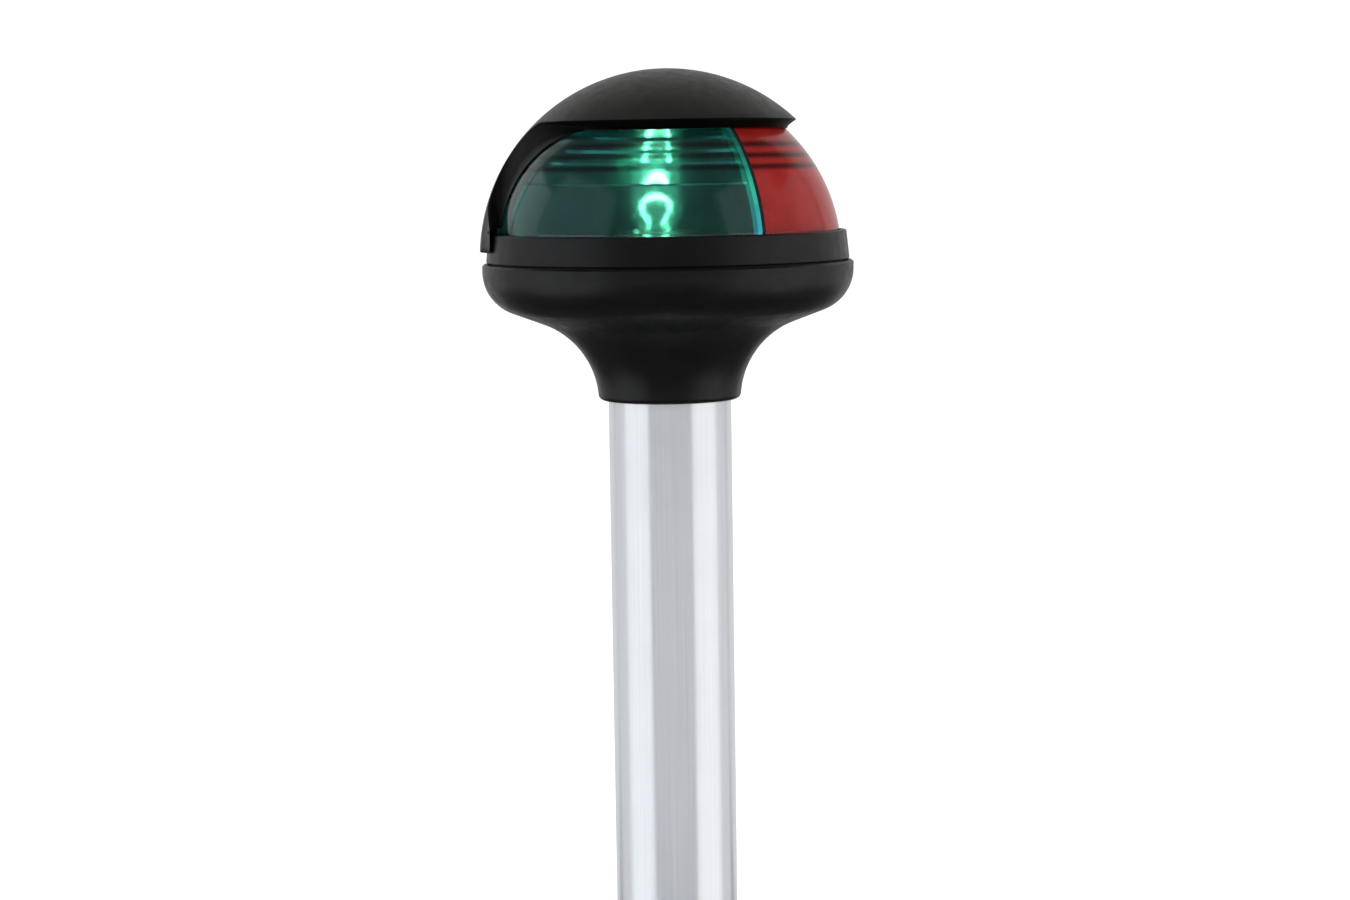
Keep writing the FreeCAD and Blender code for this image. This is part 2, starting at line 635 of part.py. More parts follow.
def wire(side):
    """One insulated wire, from a plug pin up the pole, through the gland and to a terminal."""
    gland_top = NECK_Z + FLOOR_Z
    route = [
        V(0, side * PIN_Y, PLUG_DEPTH),
        V(0, side * PIN_Y, PLUG_DEPTH + 16),
        V(-1.5, side * 3.6, PLUG_DEPTH + 50),
        V(1.0, side * 3.9, PLUG_DEPTH + 92),
        V(LAMP_X + 1.0, side * 2.6, NECK_Z - 14),
        V(LAMP_X, side * WIRE_Y, NECK_Z + 5),
        V(LAMP_X, side * WIRE_Y, gland_top - 2.2),
        V(LAMP_X, side * CONTACT_Y, gland_top + 0.2),
        V(LAMP_X, side * CONTACT_Y, gland_top + 1.6),
    ]
    return tube_along(route, WIRE_R)


def wire_gland(wires):
    """Rubber plug that seals the wires' hole through the housing's floor."""
    low, high = NECK_Z + POLE_DEPTH, NECK_Z + FLOOR_Z
    body = rod(GLAND_R - 0.02, V(LAMP_X, 0, low - 1.0), V(LAMP_X, 0, high))
    flange = rod(GLAND_R + GLAND_LIP, V(LAMP_X, 0, low - 1.0), V(LAMP_X, 0, low - 0.02))
    body = body.fuse(flange).removeSplitter()
    return body.cut(Part.makeCompound(wires))


# ---- pole and foot -----------------------------------------------------------------------------
def pole_tube():
    """Anodised tube, with a groove for the collar's stop and a flush screw hole for the plug."""
    tube = ring(POLE_R - POLE_WALL, POLE_R, 0, NECK_Z + POLE_DEPTH - 0.05)
    tube = tube.cut(ring(POLE_R - STOP_GROOVE[0], POLE_R + 1, STOP_Z, STOP_Z + STOP_GROOVE[1]))
    return tube.cut(rod(PLUG_SCREW[1] + 0.05, V(-POLE_R - 1, 0, PLUG_SCREW_Z), V(0, 0, PLUG_SCREW_Z)))


def plug_insert():
    """Nylon plug in the pole's lower end: a flange under the tube's end, and a key rib on the bow side."""
    bore, (flange_r, flange_drop), (nose_r, nose_drop) = POLE_R - POLE_WALL, PLUG_FLANGE, NOSE
    body = ring(0, bore - BORE_GAP, -0.5, PLUG_TOP)
    flange = ring(0, flange_r, -flange_drop, -0.02)
    nose = ring(0, nose_r, -nose_drop, 1 - flange_drop)
    key = block(KEY_RIB, (nose_r + 0.4, 0), -nose_drop, 0.1 - flange_drop)
    body = fuse(body, flange, nose, key)
    for y in (-PIN_Y, PIN_Y):
        body = body.cut(rod(PIN_SHANK_R + 0.02, V(0, y, -nose_drop - 1), V(0, y, PLUG_DEPTH)))
    shank_r, _, reach = PLUG_SCREW
    return body.cut(rod(shank_r + 0.05, V(-POLE_R, 0, PLUG_SCREW_Z), V(0.1 - reach, 0, PLUG_SCREW_Z)))


def plug_pins():
    """Two turned brass contact pins: a thick shank in the plug, a thin end with a rounded tip below it,
    and a socket at the top for the wire."""
    pins = []
    for y in (-PIN_Y, PIN_Y):
        contact = rod(PIN_R, V(0, y, -PIN_DROP), V(0, y, -NOSE[1]))
        tip = [e for e in contact.Edges if abs(e.BoundBox.ZMax + PIN_DROP) < 1e-6]
        contact = contact.makeFillet(PIN_R / 2, tip)
        shank = rod(PIN_SHANK_R, V(0, y, -NOSE[1]), V(0, y, PLUG_DEPTH + 1))
        socket = rod(WIRE_R + 0.02, V(0, y, PLUG_DEPTH), V(0, y, PLUG_DEPTH + 2))
        pins.append(contact.fuse(shank).removeSplitter().cut(socket))
    return Part.makeCompound(pins)


def plug_screw():
    """Flush screw through the tube's wall into the plug."""
    shank_r, head_r, reach = PLUG_SCREW
    body = rod(shank_r, V(-POLE_R + 1.2, 0, PLUG_SCREW_Z), V(-reach, 0, PLUG_SCREW_Z))
    head = rod(head_r, V(-POLE_R + 0.15, 0, PLUG_SCREW_Z), V(-POLE_R + POLE_WALL - 0.1, 0, PLUG_SCREW_Z))
    slot = Part.makeBox(0.6, 0.5, 4, V(-POLE_R + 0.05, -0.25, PLUG_SCREW_Z - 2))
    return fuse(body, head).cut(slot)


def collar_stop():
    """Split wire ring in the pole's groove, which the collar bears down on."""
    depth, height = STOP_GROOVE
    body = ring(POLE_R - depth + 0.02, POLE_R + STOP_PROUD, STOP_Z + 0.02, STOP_Z + height - 0.02)
    return body.cut(block((6, STOP_SPLIT), (-POLE_R, 0), STOP_Z - 1, STOP_Z + 3))


def collar_washer():
    """Slip washer between the stop and the collar's shoulder."""
    return ring(POLE_R + COLLAR_SLIDE, COLLAR_BORE - 0.4, STOP_Z + STOP_GROOVE[1] + 0.1, COLLAR_Z[1] - 0.1)


def locking_collar():
    """Fluted nut that clamps the pole in its deck base: a sliding bore above, a thread below."""
    low, shoulder, top = COLLAR_Z
    chamfer, cone, nose_r, flute_r, flute_out = 0.8, 5.0, POLE_R + 3.2, 1.3, 0.6
    body = revolve([
        (COLLAR_BORE, low),
        (COLLAR_R - chamfer, low),
        (COLLAR_R, low + chamfer),
        (COLLAR_R, top - cone),
        (nose_r, top - 1.0, (nose_r + 2.7, top - 1.9)),
        (nose_r - 1.0, top),
        (POLE_R + COLLAR_SLIDE, top),
        (POLE_R + COLLAR_SLIDE, shoulder),
        (COLLAR_BORE, shoulder),
    ])
    bearings = [360 / COLLAR_FLUTES * i for i in range(COLLAR_FLUTES)]
    flutes = [rod(flute_r, polar(COLLAR_R + flute_out, d, low - 1),
                  polar(COLLAR_R + flute_out, d, top - cone - 0.5)) for d in bearings]
    body = body.cut(Part.makeCompound(flutes))
    return body.fuse(thread_ridge(COLLAR_BORE, False, low + 2.0, THREAD_TURNS[2]))


# ---- all the nodes -----------------------------------------------------------------------------
def build():
    full_lens = lens_body()
    wires = {"wire_starboard": wire(-1), "wire_port": wire(1)}
    return {
        "pole_tube": pole_tube(),
        "base_housing": base_housing(),
        "neck_grub_screw": neck_grub_screw(),
        "housing_seal": housing_seal(),
        "lens_green": lens(full_lens, -1),
        "lens_red": lens(full_lens, 1),
        "rear_blank": rear_blank(full_lens),
        "colour_screen": colour_screen(full_lens),
        "clamp_plate": clamp_plate(),
        "cap_screws": cap_screws(),
        "cap_shroud": cap_shroud(),
        "retaining_ring": retaining_ring(),
        "lamp_glass": lamp_glass(),
        "lamp_base": lamp_base(),
        "lamp_supports": lamp_supports(),
        "lamp_filament": lamp_filament(),
        "lamp_holder": lamp_holder(),
        "lamp_contacts": lamp_contacts(),
        "holder_screws": holder_screws(),
        "wire_terminals": wire_terminals(),
        **wires,
        "wire_gland": wire_gland(list(wires.values())),
        "plug_insert": plug_insert(),
        "plug_pins": plug_pins(),
        "plug_screw": plug_screw(),
        "collar_stop": collar_stop(),
        "collar_washer": collar_washer(),
        "locking_collar": locking_collar(),
    }


os.makedirs("parts", exist_ok=True)
for name, shape in build().items():
    state = "ok" if shape.isValid() and shape.Volume > 0 else "BAD"
    print(f"{name:18s} {state} solids {len(shape.Solids)} volume {shape.Volume:9.2f} mm3")
    shape.exportStep(f"parts/{name}.step")
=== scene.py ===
"""Looks for the plug-in bow navigation light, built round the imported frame. Metres, +Z up, +X to the bow."""

import json
import math

import bmesh
import bpy
from mathutils import Matrix, Quaternion, Vector


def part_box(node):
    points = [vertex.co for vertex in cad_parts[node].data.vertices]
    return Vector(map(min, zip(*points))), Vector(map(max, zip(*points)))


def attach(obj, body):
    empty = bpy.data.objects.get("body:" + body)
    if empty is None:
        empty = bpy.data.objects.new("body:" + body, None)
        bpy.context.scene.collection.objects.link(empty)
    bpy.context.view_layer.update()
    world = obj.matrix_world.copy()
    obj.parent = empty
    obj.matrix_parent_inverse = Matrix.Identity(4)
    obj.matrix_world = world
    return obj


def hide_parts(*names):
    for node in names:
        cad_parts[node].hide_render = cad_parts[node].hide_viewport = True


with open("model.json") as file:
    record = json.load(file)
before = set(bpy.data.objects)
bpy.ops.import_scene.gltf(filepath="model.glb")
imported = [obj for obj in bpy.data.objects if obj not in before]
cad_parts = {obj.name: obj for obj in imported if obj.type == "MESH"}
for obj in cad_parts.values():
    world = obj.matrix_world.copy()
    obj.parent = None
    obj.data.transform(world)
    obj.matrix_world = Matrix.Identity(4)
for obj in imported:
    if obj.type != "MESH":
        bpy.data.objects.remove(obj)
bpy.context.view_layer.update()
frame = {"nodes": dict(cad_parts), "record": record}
MM = 0.001

# ---- places, from the frame --------------------------------------------------------------------
CAP_LOW, CAP_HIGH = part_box("cap_shroud")
RING_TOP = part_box("retaining_ring")[1].z
LENS_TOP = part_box("lens_green")[1].z
NECK_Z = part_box("base_housing")[0].z
HEAD_Z = NECK_Z + 34 * MM
FLOOR_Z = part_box("plug_pins")[0].z - 0.5 * MM


# ---- camera, lights and floor ------------------------------------------------------------------
VIEW_AZIMUTH = 57.5       # degrees, from looking along +Y
VIEW_HEIGHT = 6.2         # degrees above level
VIEW_ROLL = 0.84          # degrees
VIEW_DISTANCE = 0.5735
VIEW_LENS = 73.6
AIM_BELOW_NECK = 10.75 * MM
AIM_ASIDE = 0.9 * MM
LIGHT_DISTANCE = 2.8      # from the axis, beyond the stage's wall


def heading(azimuth, height=0.0):
    """Unit vector from the object towards a viewer at that azimuth and height, in degrees."""
    a, h = math.radians(azimuth), math.radians(height)
    return Vector((math.sin(a) * math.cos(h), -math.cos(a) * math.cos(h), math.sin(h)))


def add_camera():
    """Looks at the upper part of the light, rolled a little."""
    data = bpy.data.cameras.new("camera")
    data.lens = VIEW_LENS
    data.sensor_width = 36
    data.clip_start, data.clip_end = 0.01, 50
    camera = bpy.data.objects.new("camera", data)
    bpy.context.scene.collection.objects.link(camera)
    back = heading(VIEW_AZIMUTH, VIEW_HEIGHT)
    sideways = Vector((0, 0, 1)).cross(back).normalized()
    aim = Vector((0, 0, NECK_Z - AIM_BELOW_NECK)) + sideways * AIM_ASIDE
    turn = (-back).to_track_quat("-Z", "Y") @ Quaternion((0, 0, 1), math.radians(-VIEW_ROLL))
    camera.matrix_world = Matrix.Translation(aim + back * VIEW_DISTANCE) @ turn.to_matrix().to_4x4()
    bpy.context.scene.camera = camera


def add_softbox(name, turn, spread, low, high, radiance, colour=(1, 1, 1)):
    """An upright softbox behind the wall, facing the head's axis; it isn't seen directly. It is turned
    that far from the camera, and spans those angles sideways, down and up, as seen from the head."""
    bottom, top = (HEAD_Z + LIGHT_DISTANCE * math.tan(math.radians(a)) for a in (low, high))
    width = 2 * LIGHT_DISTANCE * math.tan(math.radians(spread))
    data = bpy.data.lights.new(name, "AREA")
    data.shape = "RECTANGLE"
    data.size, data.size_y = width, top - bottom
    data.energy = 4 * width * (top - bottom) * radiance
    data.color = colour
    lamp = bpy.data.objects.new(name, data)
    bpy.context.scene.collection.objects.link(lamp)
    back = heading(VIEW_AZIMUTH + turn)
    lamp.location = back * LIGHT_DISTANCE + Vector((0, 0, (bottom + top) / 2))
    lamp.rotation_euler = back.to_track_quat("Z", "Y").to_euler()
    lamp.visible_camera = False


def add_top_light(height, size, radiance):
    """A square light overhead, which reflections don't show."""
    data = bpy.data.lights.new("top", "AREA")
    data.size = size
    data.energy = 4 * size * size * radiance
    lamp = bpy.data.objects.new("top", data)
    bpy.context.scene.collection.objects.link(lamp)
    lamp.location = (0, 0, height)
    lamp.visible_camera = lamp.visible_glossy = False


def add_world(radiance, in_reflections):
    """A pale even sky, which reflections and refractions see much darker."""
    world = bpy.data.worlds.new("world")
    bpy.context.scene.world = world
    world.use_nodes = True
    tree = world.node_tree
    background = tree.nodes["Background"]
    background.inputs["Color"].default_value = (0.95, 0.98, 1.0, 1)
    path = tree.nodes.new("ShaderNodeLightPath")
    either = tree.nodes.new("ShaderNodeMath")
    either.operation = "MAXIMUM"
    tree.links.new(path.outputs["Is Glossy Ray"], either.inputs[0])
    tree.links.new(path.outputs["Is Transmission Ray"], either.inputs[1])
    mix = tree.nodes.new("ShaderNodeMapRange")
    mix.inputs["To Min"].default_value = radiance
    mix.inputs["To Max"].default_value = in_reflections
    tree.links.new(either.outputs[0], mix.inputs["Value"])
    tree.links.new(mix.outputs["Result"], background.inputs["Strength"])


def add_stage():
    """A pale floor that curves up into a round wall, so that it is plain from every side."""
    centre_r, floor_r, curve_r, wall_top = 1 * MM, 1.6, 0.9, 2.6
    outline = [Vector((centre_r, 0, 0)), Vector((floor_r, 0, 0))]
    steps = 16
    for i in range(1, steps + 1):
        a = math.radians(90) * i / steps
        outline.append(Vector((floor_r + curve_r * math.sin(a), 0, curve_r * (1 - math.cos(a)))))
    outline.append(Vector((floor_r + curve_r, 0, wall_top)))
    mesh = bmesh.new()
    ring = [mesh.verts.new(p) for p in outline]
    edges = [mesh.edges.new(pair) for pair in zip(ring, ring[1:])]
    bmesh.ops.spin(mesh, geom=ring + edges, cent=(0, 0, 0), axis=(0, 0, 1), angle=math.radians(360),
                   steps=96, use_merge=True)
    bmesh.ops.remove_doubles(mesh, verts=mesh.verts, dist=1e-5)
    bmesh.ops.recalc_face_normals(mesh, faces=mesh.faces)
    for face in mesh.faces:
        face.smooth = True
    data = bpy.data.meshes.new("stage")
    mesh.to_mesh(data)
    mesh.free()
    stage = bpy.data.objects.new("stage", data)
    stage.location.z = FLOOR_Z
    bpy.context.scene.collection.objects.link(stage)
    data.materials.append(stage_material())
    stage.visible_glossy = stage.visible_transmission = stage.visible_shadow = False


# ---- mesh helpers ------------------------------------------------------------------------------
def new_piece(name, mesh, body, slot, *replaced):
    """An object from a bmesh, in its slot's material, that rides on its body in place of CAD nodes."""
    bmesh.ops.recalc_face_normals(mesh, faces=mesh.faces)
    for face in mesh.faces:
        face.smooth = True
    data = bpy.data.meshes.new(name)
    mesh.to_mesh(data)
    mesh.free()
    piece = bpy.data.objects.new(name, data)
    bpy.context.scene.collection.objects.link(piece)
    data.materials.append(MATERIALS[slot])
    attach(piece, body)
    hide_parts(*replaced)


def join_rows(mesh, rows):
    """Faces between rows of vertices, each row a closed loop."""
    for row, after in zip(rows, rows[1:]):
        for i in range(len(row)):
            k = (i + 1) % len(row)
            mesh.faces.new((row[i], row[k], after[k], after[i]))


def fan(mesh, point, row):
    """Triangles from a row's vertices to one point."""
    tip = mesh.verts.new(point)
    for i, vert in enumerate(row):
        mesh.faces.new((tip, vert, row[(i + 1) % len(row)]))


def span(start, end, steps):
    """Evenly spaced values from start up to, but not including, end."""
    return [start + (end - start) * i / steps for i in range(steps)]


def bend(start, corner, end, share):
    """Point on a smooth bend from start to end, drawn towards the corner."""
    return start * (1 - share) ** 2 + corner * 2 * share * (1 - share) + end * share * share


def tube(mesh, path, radius, sides):
    """A round bar through the points of a path, with closed ends."""
    rows = []
    across = None
    for i, point in enumerate(path):
        along = (path[min(i + 1, len(path) - 1)] - path[max(i - 1, 0)]).normalized()
        if across is None:
            across = along.orthogonal().normalized()
        across = (across - along * across.dot(along)).normalized()
        up = along.cross(across)
        rows.append([mesh.verts.new(point + (across * math.cos(a) + up * math.sin(a)) * radius)
                     for a in span(0, 2 * math.pi, sides)])
    join_rows(mesh, rows)
    fan(mesh, path[0], rows[0])
    fan(mesh, path[-1], rows[-1])


# ---- cap ---------------------------------------------------------------------------------------
CAP_RISE = CAP_HIGH.z - CAP_LOW.z
CAP_R = (CAP_LOW.x ** 2 + CAP_RISE ** 2) / (2 * CAP_RISE)
DOME = Vector((0, 0, CAP_HIGH.z - CAP_R))
CAP_WALL = 2.6 * MM
CAP_INNER = CAP_R - CAP_WALL
SKIRT_BORE = 37.75 * MM       # bore of the shroud where it passes outside the ring
SKIRT_TOP = 6.2 * MM          # the bore's top, above the dome's centre
SKIRT_BLEND = 1.2 * MM        # how far above that the bore runs into the dome's inside
CORNER_ROUND = 1.2 * MM       # lower front corners of the shroud
OUTER_TURN, INNER_TURN = 0.5 * MM, 0.3 * MM       # how far the edge's rounded corners reach
CAP_SCREWS_AT = (60, 180, 300)                    # degrees from the bow
CAP_SCREW_CIRCLE = 14.0 * MM
BOSS_R, BOSS_BORE_R, BOSS_EDGE = 2.7 * MM, 1.3 * MM, 0.3 * MM
BOSS_GAP = 0.05 * MM                              # over the lenses' top
BOSS_SUNK, BORE_SUNK = 1.0 * MM, 0.8 * MM         # into the cap's wall
# The window's edge on the inside and on the outside: the shroud's forward edge, the lip's height above
# the dome's centre, and the rounding between the two. The edge is a bevel, widest at the rear corners.
INNER_EDGE = dict(radius=CAP_INNER, forward=-8.8 * MM, lip=26.1 * MM, rounding=18.0 * MM)
OUTER_EDGE = dict(radius=CAP_R, forward=-14.6 * MM, lip=27.9 * MM, rounding=9.0 * MM)


def arc(centre_x, centre_z, radius, start, end, steps):
    """Points (x, z) of an arc, in degrees from the bow."""
    return [(centre_x + radius * math.cos(math.radians(a)), centre_z + radius * math.sin(math.radians(a)))
            for a in span(start, end, steps)]


def cap_outline(radius, forward, lip, rounding):
    """Directions from the dome's centre to the cap's edge, all the way round: the side view's outline,
    laid on a sphere of that radius, first to starboard and then mirrored to port."""
    low = (CAP_LOW.z - DOME.z) * radius / CAP_R
    foot_r = math.sqrt(radius ** 2 - low ** 2)
    round_x = forward - CORNER_ROUND
    side_view = [(foot_r * math.cos(a), low) for a in span(math.pi, math.acos(round_x / foot_r), 90)]
    side_view += arc(round_x, low + CORNER_ROUND, CORNER_ROUND, -90, 0, 6)
    side_view += [(forward, z) for z in span(low + CORNER_ROUND, lip - rounding, 12)]
    side_view += arc(forward + rounding, lip - rounding, rounding, 180, 90, 50)
    lip_r = math.sqrt(radius ** 2 - lip ** 2)
    first = math.acos((forward + rounding) / lip_r)
    side_view += [(lip_r * math.cos(a), lip) for a in span(first, 0, 60)] + [(lip_r, lip)]
    starboard = [Vector((x, -math.sqrt(max(0, radius ** 2 - x * x - z * z)), z)).normalized()
                 for x, z in side_view]
    port = [Vector((d.x, -d.y, d.z)) for d in reversed(starboard[1:-1])]
    return starboard + port


def cap_inner_radius(direction):
    """Distance from the dome's centre to the cap's inside: a sphere, with a wider bore at its skirt."""
    level = math.hypot(direction.x, direction.y)
    if level < 0.5:
        return CAP_INNER
    skirt = SKIRT_BORE / level
    height = skirt * direction.z
    share = min(1, max(0, (height - SKIRT_TOP) / SKIRT_BLEND))
    return skirt + (CAP_INNER - skirt) * share * share * (3 - 2 * share)


def stepped_in(outline, middle, by):
    """The outline's directions, moved towards the middle of the cap by that length on its outside."""
    moved = []
    for i, d in enumerate(outline):
        across = d.cross(outline[(i + 1) % len(outline)] - outline[i - 1]).normalized()
        if across.dot(middle - d) < 0:
            across = -across
        moved.append((d + across * (by / CAP_R)).normalized())
    return moved


def make_cap():
    """Cap and shroud: one shell with a bevelled, rounded edge."""
    middle = Vector((-1, 0, 1)).normalized()
    outer, inner = cap_outline(**OUTER_EDGE), cap_outline(**INNER_EDGE)
    outer_start, inner_start = stepped_in(outer, middle, OUTER_TURN), stepped_in(inner, middle, INNER_TURN)
    mesh = bmesh.new()

    def row(points):
        return [mesh.verts.new(DOME + p) for p in points]

    def turned(starts, corners, ends, steps):
        """Rows that turn a corner in a smooth bend."""
        return [row([bend(*points, k / steps) for points in zip(starts, corners, ends)])
                for k in range(steps + 1)]

    rows = []
    outer_steps, inner_steps = 40, 30
    crowding = 1.3            # above 1, the inside's rows lie closer together near the edge
    for k in range(1, outer_steps):
        rows.append(row([middle.slerp(d, k / outer_steps) * CAP_R for d in outer_start]))
    outer_corner = [d * CAP_R for d in outer]
    inner_corner = [d * cap_inner_radius(d) for d in inner]
    outer_end = [a + (b - a).normalized() * OUTER_TURN for a, b in zip(outer_corner, inner_corner)]
    inner_end = [b + (a - b).normalized() * INNER_TURN for a, b in zip(outer_corner, inner_corner)]
    rows += turned([d * CAP_R for d in outer_start], outer_corner, outer_end, 5)
    rows += turned(inner_end, inner_corner, [d * cap_inner_radius(d) for d in inner_start], 4)
    for k in range(1, inner_steps):
        share = (k / inner_steps) ** crowding
        directions = [d.slerp(middle, share) for d in inner_start]
        rows.append(row([d * cap_inner_radius(d) for d in directions]))
    join_rows(mesh, rows)
    fan(mesh, DOME + middle * CAP_R, rows[0])
    fan(mesh, DOME + middle * CAP_INNER, rows[-1])
    for degrees in CAP_SCREWS_AT:
        add_cap_boss(mesh, math.radians(degrees))
    new_piece("cap", mesh, "cover", "black_cap", "cap_shroud")


def add_cap_boss(mesh, bearing):
    """Round boss under the dome for a cap screw, its top sunk into the cap's wall."""
    at = Vector((math.cos(bearing), math.sin(bearing), 0)) * CAP_SCREW_CIRCLE
    low = LENS_TOP + BOSS_GAP

    def loop(radius, height=None, sunk=None):
        """A ring of vertices, level at that height or sunk that far into the cap's wall."""
        verts = []
        for a in span(0, 2 * math.pi, 32):
            x, y = at.x + radius * math.cos(a), at.y + radius * math.sin(a)
            z = height if sunk is None else DOME.z + math.sqrt((CAP_INNER + sunk) ** 2 - x * x - y * y)
            verts.append(mesh.verts.new((x, y, z)))
        return verts

    rows = [
        loop(BOSS_R, sunk=BOSS_SUNK),
        loop(BOSS_R, low + BOSS_EDGE),
        loop(BOSS_R - 0.3 * BOSS_EDGE, low + 0.3 * BOSS_EDGE),
        loop(BOSS_R - BOSS_EDGE, low),
        loop(BOSS_BORE_R + BOSS_EDGE, low),
        loop(BOSS_BORE_R, low + BOSS_EDGE),
        loop(BOSS_BORE_R, sunk=BORE_SUNK),
    ]
    join_rows(mesh, rows + rows[:1])


# ---- lamp's wires ------------------------------------------------------------------------------
LAMP_LOW, LAMP_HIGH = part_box("lamp_glass")
FILAMENT_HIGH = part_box("lamp_filament")[1]
SUPPORT_LOW, SUPPORT_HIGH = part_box("lamp_supports")
LAMP_X = (LAMP_LOW.x + LAMP_HIGH.x) / 2
COIL_R = 0.24 * MM
COIL_WIRE_R = 0.075 * MM
COIL_TURNS = 26
COIL_STEPS = 12               # points in each turn
COIL_TAPER = 1 / 8            # share of the arch over which an end narrows
SUPPORT_R = 0.176 * MM
SUPPORT_ROOT_Y = 1.6 * MM
SUPPORT_BENDS = (3.4 * MM, 5.5 * MM)      # where a support starts and ends its slant, above its root
SUPPORT_BEND_R = 0.8 * MM
HOOK_R = 0.32 * MM
HOOK_TURN = 300               # degrees
HOOK_DROP = 0.3 * MM          # from the arch's foot down to the hook's middle
HOOK_SHIFT = 0.1 * MM         # towards the axis, over the hook's turn
ARCH_HALF = FILAMENT_HIGH.y - 0.3 * MM
ARCH_FOOT = SUPPORT_HIGH.z + 0.1 * MM
ARCH_TOP = FILAMENT_HIGH.z - 0.3 * MM
ARCH_R = (ARCH_HALF ** 2 + (ARCH_TOP - ARCH_FOOT) ** 2) / (2 * (ARCH_TOP - ARCH_FOOT))


def make_filament():
    """A coil along an arch, its turns narrowing to a point at each end."""
    reach = math.asin(ARCH_HALF / ARCH_R)
    path = []
    steps = COIL_TURNS * COIL_STEPS
    for i in range(steps + 1):
        share = i / steps
        lean = (2 * share - 1) * reach
        centre = Vector((LAMP_X, ARCH_R * math.sin(lean), ARCH_TOP - ARCH_R * (1 - math.cos(lean))))
        turn = 2 * math.pi * COIL_TURNS * share
        swell = min(1, share / COIL_TAPER, (1 - share) / COIL_TAPER)
        normal = Vector((0, math.sin(lean), math.cos(lean)))
        path.append(centre + (Vector((math.cos(turn), 0, 0)) + normal * math.sin(turn)) * COIL_R * swell)
    mesh = bmesh.new()
    tube(mesh, path, COIL_WIRE_R, sides=6)
    new_piece("filament_coil", mesh, "lamp", "filament", "lamp_filament")


def make_supports():
    """Two wires out of the glass base, each ending in a hook that holds an end of the filament."""
    mesh = bmesh.new()
    for side in (-1, 1):
        corners = [
            Vector((LAMP_X, side * SUPPORT_ROOT_Y, SUPPORT_LOW.z)),
            Vector((LAMP_X, side * SUPPORT_ROOT_Y, SUPPORT_LOW.z + SUPPORT_BENDS[0])),
            Vector((LAMP_X, side * ARCH_HALF, SUPPORT_LOW.z + SUPPORT_BENDS[1])),
            Vector((LAMP_X, side * ARCH_HALF, ARCH_FOOT - 0.5 * MM)),
        ]
        path = rounded(corners, SUPPORT_BEND_R)
        for degrees in span(0, HOOK_TURN, 15):
            a = math.radians(degrees)
            path.append(Vector((
                LAMP_X + HOOK_R * (1 - math.cos(a)) * 0.5,
                side * (ARCH_HALF - HOOK_SHIFT * degrees / HOOK_TURN),
                ARCH_FOOT - HOOK_DROP + HOOK_R * math.sin(a),
            )))
        tube(mesh, path, SUPPORT_R, sides=10)
    new_piece("filament_supports", mesh, "lamp", "lamp_wire", "lamp_supports")


def rounded(corners, radius):
    """Points along a route whose inner corners are turned in a smooth bend."""
    steps = 6
    path = [corners[0]]
    for before, corner, after in zip(corners, corners[1:], corners[2:]):
        start = corner + (before - corner).normalized() * radius
        end = corner + (after - corner).normalized() * radius
        path += [bend(start, corner, end, i / steps) for i in range(steps + 1)]
    return path + [corners[-1]]


